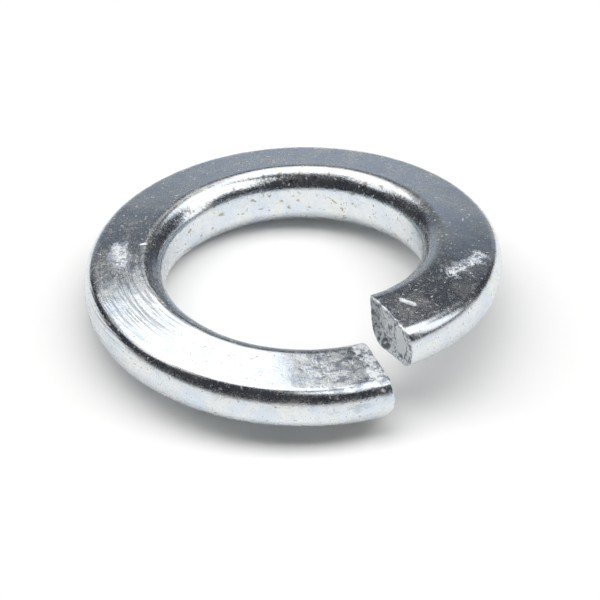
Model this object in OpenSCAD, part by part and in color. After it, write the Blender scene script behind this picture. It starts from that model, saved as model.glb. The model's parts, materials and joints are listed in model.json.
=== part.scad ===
// Split spring lock washer: one turn of keystone wire, coiled as a left-hand helix.
// It lies on the plane z = 0 as an unloaded washer comes to rest, on its lower end and on the
// side opposite. The origin is where the bore's axis meets that plane.

/* [Coil] */
// Diameter of the bore, on the flat land of the inner wall
bore_d = 16.2; // [15.6:0.1:17]
// Radial width of the wire, from the land to the top of the outer crown
wire_w = 5; // [4.5:0.05:5.6]
// Thickness of the wire at the middle of its flats
wire_t = 3.45; // [2.9:0.05:4]
// How far the wire rises along the bore in a whole turn
rise = 3.35; // [2:0.05:4.6]

/* [Wire section] */
// How much thicker the wire is at the inner edge of its flats than at the outer edge
keystone = 1.2; // [0:0.02:1.6]
// How far the outer wall bulges past the flats
outer_crown = 0.72; // [0.4:0.02:1.06]
// How far the inner wall bulges past the flats, up to the land
inner_crown = 1.12; // [0.8:0.02:1.4]
// How much of the inner bulge is lost to the land
land_depth = 0.1; // [0.06:0.02:0.2]
// Squareness of both bulges, from 2 for an ellipse to 4 for nearly square
crown_power = 2; // [2:0.1:4]

/* [Split] */
// Direction in which the split faces, anticlockwise from +X
split_angle = -58.35; // [-180:0.05:180]
// Width of the split at the middle of the wire
split_w = 0.6; // [0.4:0.02:2.6]
// How far the lower end is cut back at the outer wall, and forward at the inner wall
lower_skew = 0.22; // [0:0.02:0.66]
// How far the lower end's cut leans forward at its bottom, and back at its top
lower_lean = 0.16; // [-0.32:0.02:0.32]
// How far the upper end is cut back at the outer wall, and forward at the inner wall
upper_skew = 0.34; // [0:0.02:0.66]
// How far the upper end's cut leans back at its bottom, and forward at its top
upper_lean = 0.16; // [-0.32:0.02:0.32]

/* [Smoothness] */
// Number of steps along the coil
steps = 120; // [60:4:160]
// Number of points along each bulge
bulge_points = 14; // [8:2:18]

/* [Hidden] */

bore_r = bore_d / 2;
outer_r = bore_r + wire_w;
mid_r = (bore_r + outer_r) / 2;
// Edges of the top and bottom flats: their radii, and half the thickness there
flat_in_r = bore_r + inner_crown;
flat_out_r = outer_r - outer_crown;
half_in = wire_t / 2 + keystone / 4;
half_out = wire_t / 2 - keystone / 4;
// The ends of the coil at mid width, in degrees clockwise from the middle of the split
half_split = split_w / 2 * 180 / (PI * mid_r);
last_turn = 360 - half_split;

function signed_pow(v, p) = sign(v) * pow(abs(v), p);

// Height of a bulge at a share of the way round it, from 1 at the top to -1 at the bottom
function bulge_height(a) = signed_pow(cos(a), 2 / crown_power);

// Closed outline of the wire, as [radius, height]
function wire_outline() =
    let (turns = [for (i = [0 : bulge_points - 1]) 180 * i / (bulge_points - 1)])
    concat(
        [for (a = turns) [flat_out_r + outer_crown * sin(a), half_out * bulge_height(a)]],
        [for (a = turns) [flat_in_r - (inner_crown + land_depth) * sin(a), -half_in * bulge_height(a)]]);

// How far a cut is set back at an outline point, in degrees
function set_back(p, skew, lean) =
    (skew * (p[0] - mid_r) / (wire_w / 2) - lean * p[1] / half_in) * 180 / (PI * p[0]);

// Turn of an outline point at a share of the coil's length, clockwise from the split
function turn_at(p, share) =
    let (first = half_split + set_back(p, lower_skew, -lower_lean),
         last = last_turn - set_back(p, upper_skew, upper_lean))
    first + (last - first) * share;

function coil_point(p, turn) =
    [p[0] * cos(split_angle - turn), p[0] * sin(split_angle - turn), p[1] + rise * turn / 360];

module coil() {
    outline = wire_outline();
    n = len(outline);
    points = [for (k = [0 : steps]) for (p = outline) coil_point(p, turn_at(p, k / steps))];
    function at(k, i) = k * n + i % n;
    walls = [for (k = [0 : steps - 1]) for (i = [0 : n - 1]) each [
        [at(k, i), at(k + 1, i), at(k, i + 1)],
        [at(k, i + 1), at(k + 1, i), at(k + 1, i + 1)]]];
    lower_end = [for (i = [1 : n - 2]) [at(0, 0), at(0, i), at(0, i + 1)]];
    upper_end = [for (i = [1 : n - 2]) [at(steps, 0), at(steps, i + 1), at(steps, i)]];
    polyhedron(points, concat(walls, lower_end, upper_end), convexity = 6);
}

// The washer touches its bed at two points of the bottom flat's inner edge: at the lower end,
// and half a turn on, where the coil runs level with the bed.
touch_turn = turn_at([flat_in_r, -half_in], 0);
touch_angle = split_angle - touch_turn;
bed_fall_to_touch = rise / (4 * flat_in_r);
bed_fall_across = rise / (2 * PI * flat_in_r);
// Slope of the bed seen from the coil, along X and Y
bed_slope = [
    -bed_fall_to_touch * cos(touch_angle) - bed_fall_across * cos(touch_angle - 90),
    -bed_fall_to_touch * sin(touch_angle) - bed_fall_across * sin(touch_angle - 90)];
// Height of the bed on the bore's axis
bed_height = rise * (touch_turn / 360 + 1 / 4) - half_in;

module lie_on_bed() {
    rotate(a = atan(norm(bed_slope)), v = [-bed_slope[1], bed_slope[0], 0])
        translate([0, 0, -bed_height])
            children();
}

module spring_washer() {
    color([0.62, 0.64, 0.66])
    lie_on_bed()
        difference() {
            coil();
            translate([0, 0, -2 * half_in])
                cylinder(h = rise + 4 * half_in, r = bore_r, $fn = 180);
        }
}

spring_washer();
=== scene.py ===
"""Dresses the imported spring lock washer: a fine mesh of the coil, its zinc plating and a studio."""
import json
import math

import bpy
import numpy as np
from mathutils import Matrix, Vector


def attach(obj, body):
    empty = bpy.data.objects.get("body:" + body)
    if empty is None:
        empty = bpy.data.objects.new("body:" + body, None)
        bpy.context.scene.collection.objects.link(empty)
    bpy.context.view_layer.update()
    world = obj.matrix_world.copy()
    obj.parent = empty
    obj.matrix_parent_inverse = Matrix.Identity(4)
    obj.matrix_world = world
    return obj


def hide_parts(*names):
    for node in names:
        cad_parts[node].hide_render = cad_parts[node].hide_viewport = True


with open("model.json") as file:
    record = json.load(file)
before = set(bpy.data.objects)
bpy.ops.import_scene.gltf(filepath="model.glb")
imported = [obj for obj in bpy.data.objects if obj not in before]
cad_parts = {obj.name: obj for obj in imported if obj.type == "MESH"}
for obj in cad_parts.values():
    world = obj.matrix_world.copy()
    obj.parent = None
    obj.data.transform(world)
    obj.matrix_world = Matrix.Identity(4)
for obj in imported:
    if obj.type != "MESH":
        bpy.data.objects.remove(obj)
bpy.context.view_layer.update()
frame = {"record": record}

bl_info = {
    "name": "Spring Lock Washer",
    "version": (1, 0, 0),
    "blender": (4, 5, 0),
    "location": "View3D > Sidebar > Washer",
    "description": "Adds a zinc plated spring lock washer and a studio to show it in",
    "category": "Add Mesh",
}

NODE = "spring_washer"
MM = 0.001
MICRON = 0.001 * MM
BORE = next(m for m in frame["record"]["mounts"] if m["name"] == "bore")
BORE_AXIS = Vector(BORE["axis"]).normalized()


class WasherSizes(bpy.types.PropertyGroup):
    """Sizes of the coil. Down to the upper lean they are the part's, and then the fine mesh's own."""
    bore_radius: bpy.props.FloatProperty(
        name="Bore radius", description="Radius of the land inside the coil",
        default=BORE["dims"]["r_mm"] * MM, min=0.001, unit="LENGTH", precision=5)
    wire_width: bpy.props.FloatProperty(
        name="Wire width", description="Radial width of the wire at its bulges",
        default=5.0 * MM, min=0.001, unit="LENGTH", precision=5)
    wire_thickness: bpy.props.FloatProperty(
        name="Wire thickness", description="Thickness of the wire at the middle of its flats",
        default=3.45 * MM, min=0.001, unit="LENGTH", precision=5)
    rise: bpy.props.FloatProperty(
        name="Rise", description="How far the coil rises in a whole turn",
        default=3.35 * MM, min=0.0, unit="LENGTH", precision=5)
    keystone: bpy.props.FloatProperty(
        name="Keystone", description="How much thicker the wire is inside than outside",
        default=1.2 * MM, min=0.0, unit="LENGTH", precision=5)
    outer_crown: bpy.props.FloatProperty(
        name="Outer bulge", description="How far the outer wall bulges past the flats",
        default=0.72 * MM, min=0.0, unit="LENGTH", precision=5)
    inner_crown: bpy.props.FloatProperty(
        name="Inner bulge", description="How far the inner wall bulges past the flats",
        default=1.12 * MM, min=0.0, unit="LENGTH", precision=5)
    land_depth: bpy.props.FloatProperty(
        name="Land depth", description="How much of the inner bulge is lost to the land",
        default=0.1 * MM, min=0.0, unit="LENGTH", precision=5)
    crown_power: bpy.props.FloatProperty(
        name="Bulge squareness", description="2 is an ellipse, 4 is nearly square",
        default=2.0, min=2.0, max=4.0)
    split_angle: bpy.props.FloatProperty(
        name="Split direction", description="Where the split faces, anticlockwise from +X",
        default=math.radians(-58.35), subtype="ANGLE")
    split_width: bpy.props.FloatProperty(
        name="Split width", description="Width of the split at the middle of the wire",
        default=0.6 * MM, min=0.0, unit="LENGTH", precision=5)
    lower_skew: bpy.props.FloatProperty(
        name="Lower skew", description="Set-back of the lower cut at the outer wall",
        default=0.22 * MM, unit="LENGTH", precision=5)
    lower_lean: bpy.props.FloatProperty(
        name="Lower lean", description="How far the lower cut leans forward at its bottom",
        default=0.16 * MM, unit="LENGTH", precision=5)
    upper_skew: bpy.props.FloatProperty(
        name="Upper skew", description="Set-back of the upper cut at the outer wall",
        default=0.34 * MM, unit="LENGTH", precision=5)
    upper_lean: bpy.props.FloatProperty(
        name="Upper lean", description="How far the upper cut leans back at its bottom",
        default=0.16 * MM, unit="LENGTH", precision=5)
    steps: bpy.props.IntProperty(
        name="Steps", description="Sections along the coil", default=960, min=60, max=1000)
    inner_power: bpy.props.FloatProperty(
        name="Inner top squareness", description="Squareness of the inner bulge above its middle",
        default=2.6, min=2.0, max=4.0)
    inner_ease: bpy.props.FloatProperty(
        name="Inner ease", description="How far out on the flats the inner bulge starts",
        default=0.17 * MM, min=0.0, unit="LENGTH", precision=5)
    inner_corner: bpy.props.FloatProperty(
        name="Inner corner", description="How far the wire's corners are smoothed at the bore",
        default=0.08 * MM, min=0.0, unit="LENGTH", precision=5)
    outer_corner: bpy.props.FloatProperty(
        name="Outer corner", description="How far the wire's corners are smoothed outside",
        default=0.12 * MM, min=0.0, unit="LENGTH", precision=5)
    end_round: bpy.props.FloatProperty(
        name="End rounding", description="Radius at the rims of the shorn ends",
        default=0.14 * MM, min=0.0, unit="LENGTH", precision=5)


class ZincFinish(bpy.types.PropertyGroup):
    """Colours and roughness of the zinc plating."""
    bright: bpy.props.FloatVectorProperty(
        name="Bright zinc", description="Colour of the smooth plating",
        default=(0.77, 0.79, 0.80), size=3, subtype="COLOR", min=0.0, max=1.0)
    blue: bpy.props.FloatVectorProperty(
        name="Blue zinc", description="Tint of the plating where it is thinnest",
        default=(0.66, 0.72, 0.79), size=3, subtype="COLOR", min=0.0, max=1.0)
    straw: bpy.props.FloatVectorProperty(
        name="Straw tint", description="Yellowish tint in patches",
        default=(0.74, 0.74, 0.64), size=3, subtype="COLOR", min=0.0, max=1.0)
    rust: bpy.props.FloatVectorProperty(
        name="Pits", description="Colour of the olive brown pits",
        default=(0.30, 0.26, 0.17), size=3, subtype="COLOR", min=0.0, max=1.0)
    crust: bpy.props.FloatVectorProperty(
        name="Crust", description="Pale colour of the crust and of the shorn ends",
        default=(0.92, 0.95, 0.97), size=3, subtype="COLOR", min=0.0, max=1.0)
    slate: bpy.props.FloatVectorProperty(
        name="Slate", description="Dark colour of the crust and of the shorn ends",
        default=(0.20, 0.23, 0.29), size=3, subtype="COLOR", min=0.0, max=1.0)
    # Painted shade: the dark colour put in each shorn end's notch and in a rim round its smooth facet
    shade: bpy.props.FloatVectorProperty(
        name="Painted notch shade", description="Painted shade in the shorn end's notch and round its facet",
        default=(0.07, 0.07, 0.07), size=3, subtype="COLOR", min=0.0, max=1.0)
    roughness: bpy.props.FloatProperty(
        name="Roughness", description="Roughness of the smooth plating",
        default=0.20, min=0.0, max=1.0, subtype="FACTOR")


class StudioSettings(bpy.types.PropertyGroup):
    """Where the camera stands, and the colours of the floor and the room."""
    elevation: bpy.props.FloatProperty(
        name="Camera elevation", description="Height of the camera above the floor, as an angle",
        default=math.radians(40.0), subtype="ANGLE")
    distance: bpy.props.FloatProperty(
        name="Camera distance", description="From the camera to the point it looks at",
        default=0.3214, min=0.05, unit="LENGTH")
    aim_x: bpy.props.FloatProperty(
        name="Aim right", description="Point on the floor that the camera looks at, to the right",
        default=0.46 * MM, unit="LENGTH", precision=5)
    aim_y: bpy.props.FloatProperty(
        name="Aim back", description="Point on the floor that the camera looks at, to the back",
        default=1.33 * MM, unit="LENGTH", precision=5)
    lens: bpy.props.FloatProperty(
        name="Lens", description="Focal length in millimetres on a 36 mm wide frame",
        default=304.9, min=20.0)
    floor_colour: bpy.props.FloatVectorProperty(
        name="Floor", description="Colour of the floor",
        default=(0.95, 0.95, 0.94), size=3, subtype="COLOR", min=0.0, max=1.0)
    room_colour: bpy.props.FloatVectorProperty(
        name="Room", description="Colour of the dark room round the studio",
        default=(0.040, 0.041, 0.046), size=3, subtype="COLOR", min=0.0, max=1.0)
    wall_colour: bpy.props.FloatVectorProperty(
        name="Back wall", description="Colour of the lit wall behind the floor",
        default=(0.41, 0.45, 0.51), size=3, subtype="COLOR", min=0.0, max=1.0)


class Term:
    """A shader socket that can be used in sums, so that a line of maths adds its Math nodes."""

    def __init__(self, shader, socket):
        self.shader = shader
        self.socket = socket

    def _math(self, operation, a, b):
        return self.shader.node("ShaderNodeMath", {"operation": operation}, a, b)

    def __add__(self, other):
        return self._math("ADD", self, other)

    def __radd__(self, other):
        return self._math("ADD", other, self)

    def __sub__(self, other):
        return self._math("SUBTRACT", self, other)

    def __rsub__(self, other):
        return self._math("SUBTRACT", other, self)

    def __mul__(self, other):
        return self._math("MULTIPLY", self, other)

    def __rmul__(self, other):
        return self._math("MULTIPLY", other, self)

    def __pow__(self, other):
        return self._math("POWER", self, other)

    def over(self, low, high):
        """0 below low, 1 above high, and a soft step between them."""
        return self.shader.node(
            "ShaderNodeMapRange", {"interpolation_type": "SMOOTHSTEP"}, self, low, high, 0.0, 1.0)

    def output(self, name):
        """Another output of the same node."""
        return Term(self.shader, self.socket.node.outputs[name])


class Shader:
    """The nodes of one material or world."""

    def __init__(self, tree):
        self.tree = tree
        tree.nodes.clear()

    def feed(self, socket, value):
        """Links a term to a socket, or sets the socket's own value."""
        if isinstance(value, Term):
            self.tree.links.new(value.socket, socket)
        else:
            socket.default_value = value

    def node(self, kind, settings=None, *values, out=0, **named):
        """Adds a node: its settings first, then the values or links of its sockets."""
        made = self.tree.nodes.new(kind)
        for key, value in (settings or {}).items():
            setattr(made, key, value)
        for socket, value in zip(made.inputs, values):
            self.feed(socket, value)
        for key, value in named.items():
            self.feed(made.inputs[key.replace("_", " ")], value)
        return Term(self, made.outputs[out] if made.outputs else None)

    def mix(self, factor, a, b):
        """Mixes two colours."""
        made = self.tree.nodes.new("ShaderNodeMix")
        made.data_type = "RGBA"
        sockets = {socket.identifier: socket for socket in [*made.inputs, *made.outputs]}
        self.feed(sockets["Factor_Float"], factor)
        for name, value in (("A_Color", a), ("B_Color", b)):
            self.feed(sockets[name], value if isinstance(value, Term) else (*value, 1.0))
        return Term(self, sockets["Result_Color"])

    def vector(self, operation, *values, out=0, **named):
        """Vector maths: sums come out as a vector, lengths and dot products as a number with out=1."""
        return self.node("ShaderNodeVectorMath", {"operation": operation}, *values, out=out, **named)

    def noise(self, place, scale, detail, roughness, distortion=0.0):
        """Cloudy noise from 0 to 1, with a scale per unit of place."""
        return self.node("ShaderNodeTexNoise", {"noise_dimensions": "3D"}, Vector=place,
                         Scale=scale, Detail=detail, Roughness=roughness, Distortion=distortion)

    def watched(self):
        """1 for rays that the camera sees, straight, mirrored or through glass, and 1 for mirrored."""
        camera = self.node("ShaderNodeLightPath").output("Is Camera Ray")
        mirrored = camera.output("Is Glossy Ray")
        return camera + mirrored + camera.output("Is Transmission Ray"), mirrored


# Marks on the plating, in millimetres: where each starts and ends, and its width
CRUSTS = (
    ((-10.95, 1.75, 3.85), (-10.70, 0.10, 4.00), 0.62),
    ((9.80, -3.60, 6.30), (10.50, -3.00, 6.20), 0.50),
    ((11.10, -2.20, 5.95), (11.60, -1.10, 5.75), 0.42),
)
NICKS = (
    ((6.66, -7.10, 7.08), (7.42, -7.36, 6.95), 0.17),
    ((-9.52, 1.73, 4.22), (-9.32, 1.77, 4.24), 0.09),
    ((-8.30, 4.60, 4.35), (-8.10, 4.75, 4.35), 0.12),
)
# Share of a mark's width over which it is whole
MARK_CORE = 0.7
# Where the marks of the turning tool show and where the plating is mottled: the middle of the
# place, and how far from it the look starts to fade and is gone, in millimetres
TURNED_PLACE = (-9.4, -3.4, 4.2)
TURNED_REACH = (2.0, 6.0)
MOTTLED_PLACE = (3.2, -10.0, 4.1)
MOTTLED_REACH = (1.2, 4.2)
# Millimetres outward from the flat's inner edge: where the inner wall's look fades out, and where
# the straw fringe starts and stops
INNER_WALL_FADE = (-0.62, -0.02)
FRINGE_START = (-0.20, -0.08)
FRINGE_STOP = (0.0, 0.12)
# How noise is stretched along the coil: its scale for a millimetre of radius, a radian of turn
# and a millimetre of height, and how much the drawn lines slant
LINES_STRETCH = (7.0, 2.4, 7.0)
LINES_SLANT = 0.8
SMEARS_STRETCH = (2.4, 11.0, 2.4)
STAINS_STRETCH = (1.6, 14.0, 2.4)
# The hatch is fine across X, so it runs from front to back
HATCH_STRETCH = (6.0, 0.75, 0.75)
# The plating's noise: scale per millimetre, or 1 where it is stretched, layers of detail, their
# roughness, and for the clouds their distortion
NOISE = {
    "lines": (1.0, 3.0, 0.55),
    "smears": (1.0, 4.0, 0.65),
    "hatch": (1.0, 3.0, 0.55),
    "clouds": (0.5, 4.0, 0.6, 0.3),
    "blotches": (1.7, 4.0, 0.6),
    "sand": (7.0, 2.0, 0.6),
    "pebbles": (4.2, 2.0, 0.6),
    "specks": (8.5, 2.0, 0.6),
    "dots": (5.0, 0.0, 0.0),
    "pits": (2.6, 2.0, 0.5),
    "stains": (1.0, 2.0, 0.5),
    "torn": (2.4, 5.0, 0.75),
}
NOISE_MIDDLE = 0.5
# Where the soft steps that make masks of noise and of the mesh's values start and end
STEP = {
    "specks": (0.52, 0.74),
    "dots": (0.75, 0.80),
    "pits": (0.69, 0.74),
    "stains": (0.63, 0.70),
    "turned lines": (0.46, 0.62),
    "mottled smears": (0.47, 0.60),
    "dull clouds": (0.45, 0.68),
    "dull blotches": (0.52, 0.68),
    "bright clouds": (0.36, 0.62),
    "straw blotches": (0.54, 0.70),
    "grain": (0.62, 0.82),
    "shorn": (0.42, 0.60),
    "capped": (1.2, 1.45),
    "tone": (0.1, 0.9),
}
# How much blotches and sand fray the rims of the crust and of the shorn places
CRUST_FRAY = (2.8, 1.0)
SHORN_FRAY = (1.3, 0.4)
# Contrast and level of the tearing on the shorn faces
TORN_GAIN = 2.4
TORN_LEVEL = 1.10
# Shares of each mask in the plating's colours. The grain picks between slate and crust, and in it
# the facet's share paints the smooth facet of each shorn end paler, a painted highlight. The last
# two are the slate line round the crust and the share of the painted shade in the shorn ends'
# notches and round their facets.
STRAW = {"straw_blotches": 0.4, "fringe": 0.5}
GRAIN = {"sand": 0.7, "blotches": 0.8, "tearing": 1.0, "facet": 0.4}
SCORES = {"turned_lines": 0.55, "mottled_smears": 0.7}
CHALK = {"crust": 1.0, "shorn": 0.9, "nicks": 0.4, "dots": 0.6}
RUST = {"pits": 0.15, "inner_pits": 0.5, "stains": 0.75}
CRUST_OUTLINE = 2.4
SHADE = 0.85
# What each mask adds to the roughness, and what it takes from the metal
ROUGHER = {"dull_clouds": 0.06, "dull_blotches": 0.08, "specks": 0.15, "crust": 0.30, "shorn": 0.22,
           "nicks": 0.15, "pits": 0.2, "facet": -0.10}
LESS_METAL = {"crust": 0.92, "nicks": 0.4, "shorn": 0.80, "dots": 0.6}
# Height of each feature in micrometres: everywhere, and what each mask adds to it
HEIGHTS = {
    "lines": (2.5, {"turned": 26.0}),
    "hatch": (1.0, {}),
    "blotches": (7.5, {"shorn": 26.0, "mottled": 22.0}),
    "sand": (2.3, {"shorn": 14.0, "crust": 6.0}),
    "pebbles": (0.0, {"inside": 13.0, "capped": 60.0}),
    "pits": (-4.0, {}),
    "crust": (6.0, {}),
}


def mark_mask(s, place, mark, fray):
    """1 along a mark, falling to 0 at its width."""
    start, end, width = mark
    run = Vector(end) - Vector(start)
    offset = s.vector("SUBTRACT", place, start)
    share = s.vector("DOT_PRODUCT", offset, tuple(run / run.length_squared), out=1)
    share = s.node("ShaderNodeClamp", None, share)
    nearest = s.vector("SCALE", tuple(run), Scale=share)
    away = s.vector("DISTANCE", offset, nearest, out=1)
    return 1.0 - (away + fray).over(width * MARK_CORE, width)


def coil_place(s, mm, split_angle):
    """Distance from the coil's axis, turn round it, whose seam lies in the split, and height."""
    split = Matrix.Rotation(split_angle, 3, "Z") @ Vector((-1, 0, 0))
    side = BORE_AXIS.cross(split).normalized()
    along = s.vector("DOT_PRODUCT", mm, tuple(side.cross(BORE_AXIS)), out=1)
    across = s.vector("DOT_PRODUCT", mm, tuple(side), out=1)
    up = s.vector("DOT_PRODUCT", mm, tuple(BORE_AXIS), out=1)
    radius = (along * along + across * across) ** 0.5
    turn = s.node("ShaderNodeMath", {"operation": "ARCTAN2"}, across, along)
    return radius, turn, up


def stretched(s, place, scales, slant=0.0):
    """A place on the coil with its own scale for radius, turn and height."""
    radius, turn, up = (part * scale for part, scale in zip(place, scales))
    return s.node("ShaderNodeCombineXYZ", None, radius, turn + place[0] * slant, up)


class Plating:
    """Noise and masks over the washer, mostly from 0 to 1, for its colour, gloss and relief."""

    def __init__(self, s, sizes):
        self.s = s
        mm = s.vector("SCALE", s.node("ShaderNodeTexCoord").output("Object"), Scale=1 / MM)

        def noise(name, place=mm):
            return s.noise(place, *NOISE[name])

        place = coil_place(s, mm, sizes.split_angle)
        past_edge = place[0] - (sizes.bore_radius + sizes.inner_crown) / MM
        self.inside = 1.0 - past_edge.over(*INNER_WALL_FADE)
        self.fringe = past_edge.over(*FRINGE_START) * (1.0 - past_edge.over(*FRINGE_STOP))
        self.turned = 1.0 - s.vector("DISTANCE", mm, TURNED_PLACE, out=1).over(*TURNED_REACH)
        self.mottled = 1.0 - s.vector("DISTANCE", mm, MOTTLED_PLACE, out=1).over(*MOTTLED_REACH)
        self.lines = noise("lines", stretched(s, place, LINES_STRETCH, LINES_SLANT))
        self.turned_lines = self.lines.over(*STEP["turned lines"]) * self.turned
        smears = noise("smears", stretched(s, place, SMEARS_STRETCH))
        self.mottled_smears = smears.over(*STEP["mottled smears"]) * self.mottled
        stains = noise("stains", stretched(s, place, STAINS_STRETCH))
        self.stains = stains.over(*STEP["stains"]) * self.inside
        self.hatch = noise("hatch", s.vector("MULTIPLY", mm, HATCH_STRETCH))
        self.clouds = noise("clouds")
        self.dull_clouds = self.clouds.over(*STEP["dull clouds"])
        self.blotches = noise("blotches")
        self.dull_blotches = self.blotches.over(*STEP["dull blotches"])
        self.straw_blotches = self.blotches.over(*STEP["straw blotches"])
        self.sand = noise("sand")
        self.pebbles = noise("pebbles")
        self.specks = noise("specks").over(*STEP["specks"])
        self.dots = noise("dots").over(*STEP["dots"])
        self.pits = noise("pits").over(*STEP["pits"])
        self.inner_pits = self.pits * self.inside
        fray = self.fray(*CRUST_FRAY)
        self.crust = sum(mark_mask(s, mm, mark, fray) for mark in CRUSTS)
        self.nicks = sum(mark_mask(s, mm, mark, 0.0) for mark in NICKS)
        shorn = s.node("ShaderNodeAttribute", {"attribute_name": "shorn"}).output("Fac")
        self.shorn = (shorn + self.fray(*SHORN_FRAY)).over(*STEP["shorn"])
        self.capped = shorn.over(*STEP["capped"])
        self.tearing = self.capped * (noise("torn") * TORN_GAIN - TORN_LEVEL)
        # The tone marks each shorn end's smooth facet, painted paler as a highlight, and its notch and
        # the rim round the facet, painted dark as shade
        tone = s.node("ShaderNodeAttribute", {"attribute_name": "tone"}).output("Fac")
        self.facet = tone.over(*STEP["tone"])
        self.shade = (0.0 - tone).over(*STEP["tone"])

    def fray(self, blotchy, sandy):
        """Noise round 0 that frays the rim of a mask."""
        return (self.blotches - NOISE_MIDDLE) * blotchy + (self.sand - NOISE_MIDDLE) * sandy

    def weighed(self, weights):
        """Sum of the named masks, each by its weight."""
        return sum(getattr(self, name) * weight for name, weight in weights.items())

    def colour(self, finish):
        """Tinted plating, then the scored, chalky, torn and stained places over it, and last the
        painted shade in the shorn ends' notches and round their facets.
        """
        mix = self.s.mix
        tint = mix(self.clouds.over(*STEP["bright clouds"]), finish.blue, finish.bright)
        warm = mix(self.weighed(STRAW), tint, finish.straw)
        scored = mix(self.weighed(SCORES), warm, finish.slate)
        # The grain's facet share paints the shorn ends' smooth facets paler, a painted highlight
        chalk = mix(self.weighed(GRAIN).over(*STEP["grain"]), finish.slate, finish.crust)
        pale = mix(self.weighed(CHALK), scored, chalk)
        outlined = mix(self.crust * (1.0 - self.crust) * CRUST_OUTLINE, pale, finish.slate)
        spotted = mix(self.weighed(RUST), outlined, finish.rust)
        # Painted shade in the notch and round the facet of each shorn end
        return mix(self.shade * SHADE, spotted, finish.shade)

    def height(self):
        """Relief of the plating, in micrometres."""
        return sum(getattr(self, name) * (everywhere + self.weighed(added))
                   for name, (everywhere, added) in HEIGHTS.items())


def zinc_material(finish, sizes):
    """Bright zinc plating with drawn lines, cloudy patches, sandy grain, specks, pits and crust."""
    material = bpy.data.materials.new("zinc_plating")
    material.use_nodes = True
    s = Shader(material.node_tree)
    plating = Plating(s, sizes)
    bump = s.node("ShaderNodeBump", None, Strength=1.0, Distance=MICRON, Height=plating.height())
    metal = s.node("ShaderNodeBsdfPrincipled", None, Base_Color=plating.colour(finish),
                   Metallic=1.0 - plating.weighed(LESS_METAL),
                   Roughness=finish.roughness + plating.weighed(ROUGHER), Normal=bump)
    s.node("ShaderNodeOutputMaterial", None, metal)
    return material


# Plane waves in a random field, and the shortest and longest of them as shares of its size
FIELD_WAVES = 28
FIELD_LENGTHS = (0.7, 1.6)


def clouds_at(points, size, seed):
    """Smooth random field from -1 to 1 at points, made of plane waves about size long."""
    rng = np.random.default_rng(seed)
    total = np.zeros(points.shape[:-1])
    for _ in range(FIELD_WAVES):
        direction = rng.normal(size=3)
        direction /= np.linalg.norm(direction)
        length = size * rng.uniform(*FIELD_LENGTHS)
        total += np.sin(points @ direction * (2 * math.pi / length) + rng.uniform(0, 2 * math.pi))
    return np.clip(total / math.sqrt(FIELD_WAVES), -2.0, 2.0) / 2.0


def soft_step(x, low, high):
    """0 below low, 1 above high, and a soft step between them."""
    t = np.clip((x - low) / (high - low), 0.0, 1.0)
    return t * t * (3.0 - 2.0 * t)


# Points on each of the outline's four stretches, on the even outline while its corners are
# smoothed, and on the outline that the mesh keeps
STRETCH_POINTS = 400
EVEN_POINTS = 4 * STRETCH_POINTS
OUTLINE_POINTS = 94
# The bottom flat keeps this share of points, and lies below this share of half the thickness
BOTTOM_SHARE = 0.3
BOTTOM_LEVEL = 0.97
# Loops that close each end of the wire
CAP_LOOPS = 24
# Wear of the ends, in millimetres: how far the upper end is drawn back at its nose and low down
# inside, how far it is drawn forward outside, and how far the lower end's corner is worn back
NOSE_WEAR = 0.70
LOW_WEAR = 0.45
OUTER_LIP = 0.36
CORNER_WEAR = 0.62
# Share of half the outer thickness at which the corner's wear starts
CORNER_START = 0.1


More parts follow.
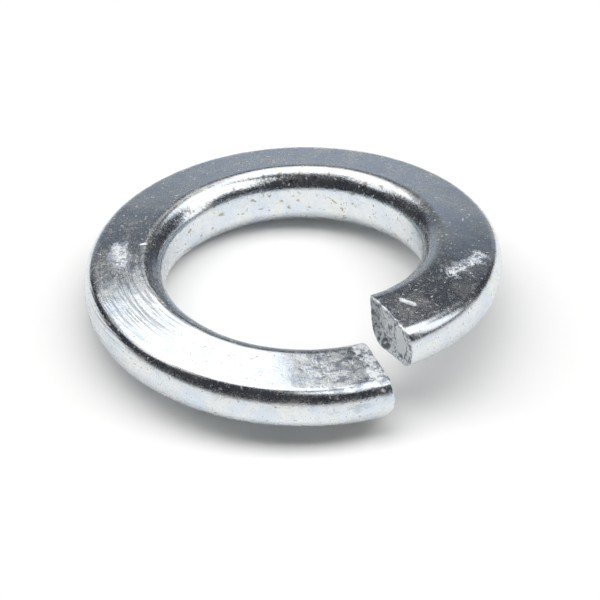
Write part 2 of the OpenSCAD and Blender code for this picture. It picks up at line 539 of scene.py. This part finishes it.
class Coil:
    """The wire's outline swept along the coil, in the coil's own frame."""

    def __init__(self, sizes):
        self.sizes = sizes
        self.outer_r = sizes.bore_radius + sizes.wire_width
        self.mid_r = (sizes.bore_radius + self.outer_r) / 2
        self.flat_in = sizes.bore_radius + sizes.inner_crown
        self.flat_out = self.outer_r - sizes.outer_crown
        self.half_in = sizes.wire_thickness / 2 + sizes.keystone / 4
        self.half_out = sizes.wire_thickness / 2 - sizes.keystone / 4
        self.half_split = sizes.split_width / 2 / self.mid_r

    def outline(self):
        """Closed outline as radius and height, from the top flat round the outer wall, corners soft."""
        sizes = self.sizes
        t = np.linspace(0, 1, STRETCH_POINTS, endpoint=False)
        a = t * math.pi
        edge = self.flat_in + sizes.inner_ease
        edge_half = np.interp(edge, (self.flat_in, self.flat_out), (self.half_in, self.half_out))
        reach = sizes.inner_crown + sizes.land_depth + sizes.inner_ease
        inner_r = np.maximum(edge - reach * np.sin(a), sizes.bore_radius)
        flat = edge + (self.flat_out - edge) * t
        half = edge_half + (self.half_out - edge_half) * t
        inner_power = np.where(a < math.pi / 2, sizes.crown_power, sizes.inner_power)
        radius = np.concatenate([
            flat, self.flat_out + sizes.outer_crown * np.sin(a), flat[::-1], inner_r])
        height = np.concatenate([
            half, self.half_out * bulge(a, sizes.crown_power), -half[::-1],
            -edge_half * bulge(a, inner_power)])
        radius, height, length = evenly(radius, height, EVEN_POINTS)
        fine, broad = (corner / (length / EVEN_POINTS)
                       for corner in (sizes.inner_corner, sizes.outer_corner))
        outer = soft_step(radius, self.mid_r, self.flat_out)
        radius, height = (softened(v, fine) * (1 - outer) + softened(v, broad) * outer
                          for v in (radius, height))
        on_flat = (radius > self.flat_in) & (radius < self.flat_out)
        bottom = on_flat & (height < -self.half_out * BOTTOM_LEVEL)
        weight = np.cumsum(np.where(bottom, BOTTOM_SHARE, 1.0))
        picks = np.linspace(0, weight[-1], OUTLINE_POINTS, endpoint=False)
        return np.interp(picks, weight, radius), np.interp(picks, weight, height)

    def set_back(self, r, z, skew, lean):
        """Turn by which a cut is set back: by its skew at the outer wall, by its lean at the bottom."""
        half_width = self.sizes.wire_width / 2
        return (skew * (r - self.mid_r) / half_width - lean * z / self.half_in) / r

    def upper_wear(self, r, z):
        """How far shearing drew the upper end back: inside and below, and forward outside."""
        across = np.clip((r - self.flat_in) / (self.flat_out - self.flat_in), 0, 1)
        nose = np.clip((self.flat_in - r) / self.sizes.inner_crown, 0, 1)
        low = np.clip(-z / self.half_in, 0, 1)
        inner_low = low * (1 - across) * (1 - nose)
        return (NOSE_WEAR * nose + LOW_WEAR * inner_low - OUTER_LIP * across ** 2) * MM

    def lower_wear(self, r, z):
        """How far the lower end is worn back at its outer bottom corner."""
        out = soft_step(r, self.mid_r, self.outer_r)
        low = soft_step(-z, CORNER_START * self.half_out, self.half_out)
        return CORNER_WEAR * MM * out * low

    def turn_range(self, r, z):
        """Turns from the split's middle to the lower cut and to the upper cut."""
        sizes = self.sizes
        first = self.half_split + self.set_back(r, z, sizes.lower_skew, -sizes.lower_lean)
        last = 2 * math.pi - self.half_split - self.set_back(r, z, sizes.upper_skew, sizes.upper_lean)
        return first, last

    def place(self, r, z, turn):
        """Points of the coil at a radius, a height above the wire's middle and a turn."""
        angle = self.sizes.split_angle - turn
        height = z + self.sizes.rise * turn / (2 * math.pi)
        return np.stack([r * np.cos(angle), r * np.sin(angle), height + 0 * r], axis=-1)

    def bed(self):
        """Turns and lowers coil points so that the washer lies on the floor, as the part does."""
        first, _ = self.turn_range(self.flat_in, -self.half_in)
        height = self.sizes.rise * (first / (2 * math.pi) + 0.25) - self.half_in
        tilt = Vector((0, 0, 1)).rotation_difference(BORE_AXIS).to_matrix().to_4x4()
        return tilt @ Matrix.Translation((0, 0, -height))


def bulge(a, power):
    """Height of a bulging wall from 1 to -1 as a goes from 0 to half a turn, squarer with power."""
    return np.sign(np.cos(a)) * np.abs(np.cos(a)) ** (2 / power)


def evenly(radius, height, count):
    """Resamples a closed outline at even steps, and gives its length too."""
    radius, height = np.append(radius, radius[0]), np.append(height, height[0])
    run = np.concatenate([[0], np.cumsum(np.hypot(np.diff(radius), np.diff(height)))])
    at = np.linspace(0, run[-1], count, endpoint=False)
    return np.interp(at, run, radius), np.interp(at, run, height), run[-1]


def softened(values, reach):
    """Smooths closed values over a reach of so many steps."""
    count = len(values)
    step = np.minimum(np.arange(count), count - np.arange(count))
    kernel = np.exp(-0.5 * (step / reach) ** 2)
    return np.real(np.fft.ifft(np.fft.fft(values) * np.fft.fft(kernel / kernel.sum())))


# How far the shorn look reaches from the lower end, on top, and from the upper end, in millimetres
LOWER_SHORN = 1.8
UPPER_SHORN = 0.3
# The top of the wire lies above this share of half its outer thickness, and takes this share of
# the inner bulge
TOP_LEVEL = 0.9
TOP_BULGE = 0.4
# Value of the faces of the shorn ends, above any on the wall
CAP_SHORN = 1.5


def swept_grid(coil, steps):
    """Points of the wall, one ring of the outline for each step, and how shorn they are."""
    r, z = coil.outline()
    first, last = coil.turn_range(r, z)
    first = first + coil.lower_wear(r, z) / r
    last = last - coil.upper_wear(r, z) / r
    share = np.linspace(0, 1, steps + 1)[:, None]
    turn = first + (last - first) * share
    points = coil.place(np.broadcast_to(r, turn.shape), z, turn)
    from_lower = (turn - first) * r
    from_upper = (last - turn) * r
    rim = coil.sizes.end_round
    nearest = np.minimum(np.minimum(from_lower, from_upper), rim)
    inset = rim - np.sqrt(np.maximum(rim ** 2 - (rim - nearest) ** 2, 0))
    inward = points.mean(axis=1, keepdims=True) - points
    inward /= np.linalg.norm(inward, axis=-1, keepdims=True)
    points = points + inward * inset[..., None]
    top = (z > coil.half_out * TOP_LEVEL) & (r > coil.flat_in - coil.sizes.inner_crown * TOP_BULGE)
    shorn = np.clip(1 - from_lower / (LOWER_SHORN * MM), 0, 1) * top
    shorn = np.maximum(shorn, np.clip(1 - from_upper / (UPPER_SHORN * MM), 0, 1))
    return points, shorn


def grid_normals(points):
    """Outward normals of the swept wall."""
    along = np.gradient(points, axis=0)
    around = np.roll(points, -1, axis=1) - np.roll(points, 1, axis=1)
    normal = np.cross(along, around)
    normal /= np.linalg.norm(normal, axis=-1, keepdims=True)
    return normal


# Waviness of the wall: the depth and the length of its waves in millimetres, and their seed
WALL_WAVES = ((0.018, 5.0, 3), (0.005, 1.6, 5), (0.002, 0.7, 8))
# Depth of the nicks in millimetres, and the shares of their width at which floor and rim end
NICK_DEPTH = 0.035
NICK_FLOOR = 0.3
NICK_RIM = 1.2


def worn(points):
    """Takes the swept wall's perfection away: shallow waviness, and nicks."""
    normal = grid_normals(points)
    depth = sum(deep * MM * (clouds_at(points, long * MM, seed) - 1.0)
                for deep, long, seed in WALL_WAVES)
    for start, end, width in NICKS:
        start, end = np.array(start) * MM, np.array(end) * MM
        run = end - start
        share = np.clip((points - start) @ run / (run @ run), 0, 1)
        away = np.linalg.norm(points - start - share[..., None] * run, axis=-1)
        rim = soft_step(away, NICK_FLOOR * width * MM, NICK_RIM * width * MM)
        depth -= NICK_DEPTH * MM * (1 - rim)
    return points + normal * depth[..., None]


# The smooth facet and the torn notch of a shorn end: where each lies, outwards and up from the
# middle of the end, and half its width and height, in millimetres
FACET_AT = (1.35, -0.15)
FACET_HALF = (0.62, 1.05)
NOTCH_AT = (-0.9, -1.95)
NOTCH_PIT_HALF = (0.45, 0.40)
NOTCH_SHADE_HALF = (0.65, 0.42)
# Squared distances from the facet's and the notch's middles at which their parts start and end:
# the facet's slope, its painted highlight, the rise and fall of the painted shade round it, and
# the painted shade in the notch
FACET_SLOPE = (0.8, 1.5)
FACET_SHINE = (0.8, 1.1)
RIM_RISE = (0.9, 1.3)
RIM_FALL = (1.3, 2.2)
NOTCH_SHADE = (0.4, 1.3)
# Random fields of a shorn end: the length of their waves in millimetres, and their seed
SHEAR_FIELDS = {
    "lines": (0.7, 21),
    "lumps": (0.6, 22),
    "grit": (0.25, 23),
    "facet": (0.6, 31),
    "notch": (0.35, 32),
    "rim": (0.8, 33),
}
# How much the fields fray the facet and the notch, and where in its field the painted shade of
# the rim round the facet shows
FACET_FRAY = 0.55
NOTCH_FRAY = 1.3
RIM_PATCHES = (-0.7, 0.1)
# Relief of a shorn end in millimetres: how deep the facet lies at its inner side, how much less
# for each millimetre out, where that side is, and the depths of the notch, of the whole end, of
# the lines and of the lumps
FACET_DEPTH = 0.16
FACET_RISE = 0.10
FACET_INNER_SIDE = 0.7
NOTCH_DEPTH = 0.08
END_DEPTH = 0.05
LINE_DEPTH = 0.004
LUMP_DEPTH = 0.085
# Share of grit in the lumps, and how much of the roughness the facet loses
GRIT = 0.5
FACET_SMOOTH = 0.8
# The end leans out for each millimetre outwards, and is level at this distance from its middle
END_TILT = 0.10
END_LEVEL = 2.0
# How the shear lines are stretched, across and up the end
LINE_STRETCH = (3.0, 0.5)
# Share of the way to the middle over which the relief sets in
RELIEF_START = 0.12


def shear_field(name, points):
    """One of the random fields of a shorn end."""
    size, seed = SHEAR_FIELDS[name]
    return clouds_at(points, size * MM, seed)


def spot(x, y, middle, half):
    """Squared distance from a spot's middle: 1 at its rim."""
    return ((x - middle[0] * MM) / (half[0] * MM)) ** 2 + ((y - middle[1] * MM) / (half[1] * MM)) ** 2


def facet_place(x, y, inner):
    """Squared distance from the facet's middle: 1 at its frayed rim."""
    return spot(x, y, FACET_AT, FACET_HALF) + FACET_FRAY * shear_field("facet", inner)


def shear_relief(x, y, inner):
    """Height of a shorn end, at places across (outwards) and up it."""
    facet = 1 - soft_step(facet_place(x, y, inner), *FACET_SLOPE)
    sunk = np.clip(FACET_DEPTH - FACET_RISE * (x / MM - FACET_INNER_SIDE), 0, None)
    notch = np.exp(-spot(x, y, NOTCH_AT, NOTCH_PIT_HALF))
    across, up = LINE_STRETCH
    lines = shear_field("lines", np.stack([x * across, y * up, 0 * x], axis=-1))
    lumps = shear_field("lumps", inner) + GRIT * shear_field("grit", inner)
    rough = (1 - FACET_SMOOTH * facet) * (LINE_DEPTH * lines + LUMP_DEPTH * lumps)
    tilt = END_TILT * (x / MM - END_LEVEL)
    return (-sunk * facet - NOTCH_DEPTH * notch + rough + tilt * (1 - facet) - END_DEPTH) * MM


def shear_shade(x, y, inner):
    """Painted light of a shorn end: 1 on its smooth facet, a painted highlight, and -1 in the notch and
    round the facet, painted shade.
    """
    facet = facet_place(x, y, inner)
    notch = spot(x, y, NOTCH_AT, NOTCH_SHADE_HALF) + NOTCH_FRAY * shear_field("notch", inner)
    rim = soft_step(facet, *RIM_RISE) * (1 - soft_step(facet, *RIM_FALL))
    rim = rim * soft_step(shear_field("rim", inner), *RIM_PATCHES)
    return 1 - soft_step(facet, *FACET_SHINE) - rim - (1 - soft_step(notch, *NOTCH_SHADE))


def cap_grid(ring, before):
    """Loops of the outline that shrink to the middle of a shorn end, and their tones: painted highlight
    and shade.
    """
    centre = ring.mean(axis=0)
    out = centre - before.mean(axis=0)
    out /= np.linalg.norm(out)
    up = np.array(BORE_AXIS)
    outwards = np.cross(up, out) * np.sign(np.cross(up, out) @ centre)
    share = 1 - np.arange(CAP_LOOPS)[:, None, None] / CAP_LOOPS
    inner = centre + (ring - centre) * share
    x = (inner - centre) @ outwards
    y = (inner - centre) @ up
    relief = shear_relief(x, y, inner) * soft_step(1 - share[..., 0], 0.0, RELIEF_START)
    return inner + relief[..., None] * out, shear_shade(x, y, inner)


def ring_faces(index):
    """Quads between each row of point numbers and the next."""
    ahead = np.roll(index, -1, axis=1)
    quads = np.stack([index[:-1], ahead[:-1], ahead[1:], index[1:]], axis=-1)
    return [tuple(q) for q in quads.reshape(-1, 4).tolist()]


# Rows of the wall between an end and the row that gives its direction
DIRECTION_ROWS = 6


def washer_mesh(sizes):
    """Mesh of the coil's wall and of both shorn ends, with how shorn each point is and its tone, the
    shorn ends' painted highlight and shade.
    """
    coil = Coil(sizes)
    bed = np.array(coil.bed())
    grid, shorn = swept_grid(coil, sizes.steps)
    grid = worn(grid @ bed[:3, :3].T + bed[:3, 3])
    count = grid.shape[1]
    points, shorn = grid.reshape(-1, 3), shorn.reshape(-1)
    tones = np.zeros(len(points))
    index = np.arange(len(points)).reshape(-1, count)
    faces = ring_faces(index)
    ends = ((grid[0], grid[DIRECTION_ROWS], index[0], True),
            (grid[-1], grid[-1 - DIRECTION_ROWS], index[-1], False))
    for ring, before, numbers, flip in ends:
        inner, tone = cap_grid(ring, before)
        inner, tone = inner[1:], tone[1:]
        middle = len(points) + inner.shape[0] * count
        added = np.arange(len(points), middle).reshape(-1, count)
        made = ring_faces(np.concatenate([numbers[None, :], added]))
        made += [(int(added[-1][i]), int(added[-1][(i + 1) % count]), middle) for i in range(count)]
        faces += [tuple(reversed(f)) for f in made] if flip else made
        points = np.concatenate([points, inner.reshape(-1, 3), inner[-1].mean(axis=0)[None, :]])
        tones = np.concatenate([tones, tone.reshape(-1), [tone[-1].mean()]])
        shorn = np.concatenate([shorn, np.full(inner.shape[0] * count + 1, CAP_SHORN)])
    mesh = bpy.data.meshes.new("washer_coil")
    mesh.from_pydata(points.tolist(), [], faces)
    for name, values in (("shorn", shorn), ("tone", tones)):
        mesh.attributes.new(name, "FLOAT", "POINT").data.foreach_set("value", values)
    mesh.validate()
    mesh.shade_smooth()
    return mesh


class WASHER_OT_add_washer(bpy.types.Operator):
    """Adds the washer's fine mesh over its plain solid"""
    bl_idname = "washer.add_washer"
    bl_label = "Add Washer"

    def execute(self, context):
        sizes = context.scene.washer_sizes
        mesh = washer_mesh(sizes)
        mesh.materials.append(zinc_material(context.scene.washer_finish, sizes))
        washer = bpy.data.objects.new("washer", mesh)
        context.scene.collection.objects.link(washer)
        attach(washer, "root")
        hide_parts(NODE)
        return {"FINISHED"}


# Lamps: azimuth from the back towards the right, elevation, width and height as seen from the
# washer, in degrees, and brightness. The metal mirrors the soft boxes, and they light nothing
# else. The overhead lamp lights the floor, and the metal doesn't mirror it.
SOFT_BOXES = (
    ("back_soft_box", -22, 62, 32, 51, 1.45),
    ("back_side_box", 4, 60, 7, 44, 0.75),
    ("corner_soft_box", 49, 57, 36, 24, 1.5),
    ("right_soft_box", 93, 38, 26, 66, 1.4),
    ("front_side_box", 122, 58, 36, 34, 1.4),
    ("left_soft_box", -60, 50, 44, 26, 1.3),
)
OVERHEAD_LAMP = ("overhead_lamp", 0, 86, 120, 38, 3.3)
# Distances of the lamps, and radii of the floor and the room, in metres, and how many sides and
# rings the floor and the room have
SOFT_BOX_DISTANCE = 0.7
OVERHEAD_DISTANCE = 0.8
FLOOR_RADIUS = 3.0
ROOM_RADIUS = 2.0
FLOOR_SIDES = 64
ROOM_SIDES = 48
ROOM_RINGS = 16
# The floor is plain white beyond this distance in metres, and turns to it from this share of it
PLAIN_FLOOR = 0.11
PLAIN_FLOOR_START = 0.4
# How much the floor near the washer glows of itself, and how much of its own glow the plain
# floor loses where the metal mirrors it
FLOOR_LIFT = 0.03
MIRROR_LOSS = 0.96
# Where the back wall's light starts and is whole, towards the back, and where it ends upwards,
# each as a part of a direction of length 1
WALL_BACK = (0.76, 0.90)
WALL_UP = (0.05, 0.55)
# Strength of the light from all round
AMBIENT = 0.05
# Width of the camera's frame in millimetres, and how near it sees, in metres
SENSOR_WIDTH = 36.0
CLIP_START = 0.01


def staged(name, mesh, context):
    """Adds a mesh as part of the studio, not of the washer."""
    obj = bpy.data.objects.new(name, mesh)
    context.scene.collection.objects.link(obj)
    return obj


def floor_material(studio):
    """A pale floor that keeps the shadow near the washer and is plain white further off."""
    material = bpy.data.materials.new("pale_floor")
    material.use_nodes = True
    s = Shader(material.node_tree)
    sees, mirrored = s.watched()
    away = s.vector("LENGTH", s.node("ShaderNodeTexCoord").output("Object"), out=1)
    far = away.over(PLAIN_FLOOR * PLAIN_FLOOR_START, PLAIN_FLOOR)
    matt = s.node("ShaderNodeBsdfDiffuse", None, Color=(*studio.floor_colour, 1.0))
    lift = s.node("ShaderNodeEmission", None, Color=(1, 1, 1, 1), Strength=sees * FLOOR_LIFT)
    near = s.node("ShaderNodeAddShader", None, matt, lift)
    plain = s.node("ShaderNodeEmission", None, Color=(1, 1, 1, 1),
                   Strength=sees - mirrored * MIRROR_LOSS)
    s.node("ShaderNodeOutputMaterial", None, s.node("ShaderNodeMixShader", None, far, near, plain))
    return material


def room_material(studio):
    """The dark room that the metal reflects, with a paler wall low down at the back."""
    material = bpy.data.materials.new("dark_room")
    material.use_nodes = True
    s = Shader(material.node_tree)
    aim = s.vector("NORMALIZE", s.node("ShaderNodeTexCoord").output("Object"))
    parts = s.node("ShaderNodeSeparateXYZ", None, aim)
    back = parts.output("Y").over(*WALL_BACK)
    low = 1.0 - parts.output("Z").over(*WALL_UP)
    colour = s.mix(back * low, studio.room_colour, studio.wall_colour)
    s.node("ShaderNodeOutputMaterial", None, s.node("ShaderNodeEmission", None, Color=colour))
    return material


def circle(radius, height, sides):
    """Points of a level circle, anticlockwise from +X."""
    angles = (2 * math.pi * i / sides for i in range(sides))
    return [(radius * math.cos(angle), radius * math.sin(angle), height) for angle in angles]


def disc_mesh(name, radius, sides):
    """A flat disc at height 0."""
    mesh = bpy.data.meshes.new(name)
    mesh.from_pydata(circle(radius, 0, sides), [], [tuple(range(sides))])
    return mesh


def dome_mesh(name, radius, sides, rings):
    """Half a ball that stands on the level of height 0."""
    points = []
    for j in range(rings):
        elevation = math.pi / 2 * j / rings
        points += circle(radius * math.cos(elevation), radius * math.sin(elevation), sides)
    points.append((0, 0, radius))
    faces = ring_faces(np.arange(rings * sides).reshape(rings, sides))
    last = (rings - 1) * sides
    faces += [(last + i, last + (i + 1) % sides, len(points) - 1) for i in range(sides)]
    mesh = bpy.data.meshes.new(name)
    mesh.from_pydata(points, [], faces)
    return mesh


def towards(azimuth, elevation):
    """Direction from the washer: azimuth in degrees from the back towards the right."""
    a = math.radians(azimuth)
    e = math.radians(elevation)
    return Vector((math.sin(a) * math.cos(e), math.cos(a) * math.cos(e), math.sin(e)))


def soft_box(context, distance, name, azimuth, elevation, wide, high, brightness):
    """A rectangular lamp, given by its direction and by the angles that it spans."""
    lamp = bpy.data.lights.new(name, "AREA")
    lamp.shape = "RECTANGLE"
    lamp.size = 2 * distance * math.tan(math.radians(wide / 2))
    lamp.size_y = 2 * distance * math.tan(math.radians(high / 2))
    lamp.energy = brightness * math.pi * lamp.size * lamp.size_y
    obj = bpy.data.objects.new(name, lamp)
    direction = towards(azimuth, elevation)
    obj.location = direction * distance
    obj.rotation_euler = direction.to_track_quat("Z", "Y").to_euler()
    context.scene.collection.objects.link(obj)
    return obj


def add_lamps(context):
    """Adds the boxes that the metal mirrors and the lamp that lights the floor."""
    for box in SOFT_BOXES:
        soft_box(context, SOFT_BOX_DISTANCE, *box).visible_diffuse = False
    soft_box(context, OVERHEAD_DISTANCE, *OVERHEAD_LAMP).visible_glossy = False


def white_world():
    """A world that is white to the camera and lights the washer only a little."""
    world = bpy.data.worlds.new("white_room")
    world.use_nodes = True
    s = Shader(world.node_tree)
    sees, _ = s.watched()
    strength = sees.over(0.0, 1.0) * (1.0 - AMBIENT) + AMBIENT
    s.node("ShaderNodeOutputWorld", None, s.node("ShaderNodeBackground", None, (1, 1, 1, 1), strength))
    return world


def add_camera(context):
    """Adds the camera at the photograph's angle."""
    studio = context.scene.washer_studio
    camera = bpy.data.objects.new("camera", bpy.data.cameras.new("camera"))
    camera.data.lens = studio.lens
    camera.data.sensor_width = SENSOR_WIDTH
    camera.data.clip_start = CLIP_START
    away = towards(180, math.degrees(studio.elevation))
    camera.location = Vector((studio.aim_x, studio.aim_y, 0)) + away * studio.distance
    camera.rotation_euler = away.to_track_quat("Z", "Y").to_euler()
    context.scene.collection.objects.link(camera)
    context.scene.camera = camera


class WASHER_OT_add_studio(bpy.types.Operator):
    """Adds the floor, the room, the lamps and the camera"""
    bl_idname = "washer.add_studio"
    bl_label = "Add Studio"

    def execute(self, context):
        studio = context.scene.washer_studio
        floor = staged("floor", disc_mesh("floor", FLOOR_RADIUS, FLOOR_SIDES), context)
        floor.data.materials.append(floor_material(studio))
        room = staged("room", dome_mesh("room", ROOM_RADIUS, ROOM_SIDES, ROOM_RINGS), context)
        room.data.materials.append(room_material(studio))
        room.visible_camera = False
        room.visible_diffuse = False
        room.visible_shadow = False
        add_lamps(context)
        context.scene.world = white_world()
        add_camera(context)
        context.scene.view_settings.view_transform = "Standard"
        return {"FINISHED"}


class WASHER_PT_panel(bpy.types.Panel):
    """Lists the sizes, the finish and the studio"""
    bl_label = "Spring Lock Washer"
    bl_idname = "WASHER_PT_panel"
    bl_space_type = "VIEW_3D"
    bl_region_type = "UI"
    bl_category = "Washer"

    def draw(self, context):
        for operator, group in ((None, context.scene.washer_finish),
                                ("washer.add_washer", context.scene.washer_sizes),
                                ("washer.add_studio", context.scene.washer_studio)):
            for name in group.__annotations__:
                self.layout.prop(group, name)
            if operator:
                self.layout.operator(operator)


CLASSES = (WasherSizes, ZincFinish, StudioSettings, WASHER_OT_add_washer, WASHER_OT_add_studio,
           WASHER_PT_panel)


def register():
    for cls in CLASSES:
        bpy.utils.register_class(cls)
    bpy.types.Scene.washer_sizes = bpy.props.PointerProperty(type=WasherSizes)
    bpy.types.Scene.washer_finish = bpy.props.PointerProperty(type=ZincFinish)
    bpy.types.Scene.washer_studio = bpy.props.PointerProperty(type=StudioSettings)


def unregister():
    del bpy.types.Scene.washer_studio
    del bpy.types.Scene.washer_finish
    del bpy.types.Scene.washer_sizes
    for cls in reversed(CLASSES):
        bpy.utils.unregister_class(cls)


def main():
    register()
    bpy.ops.washer.add_studio()
    bpy.ops.washer.add_washer()


if __name__ == "__main__":
    main()
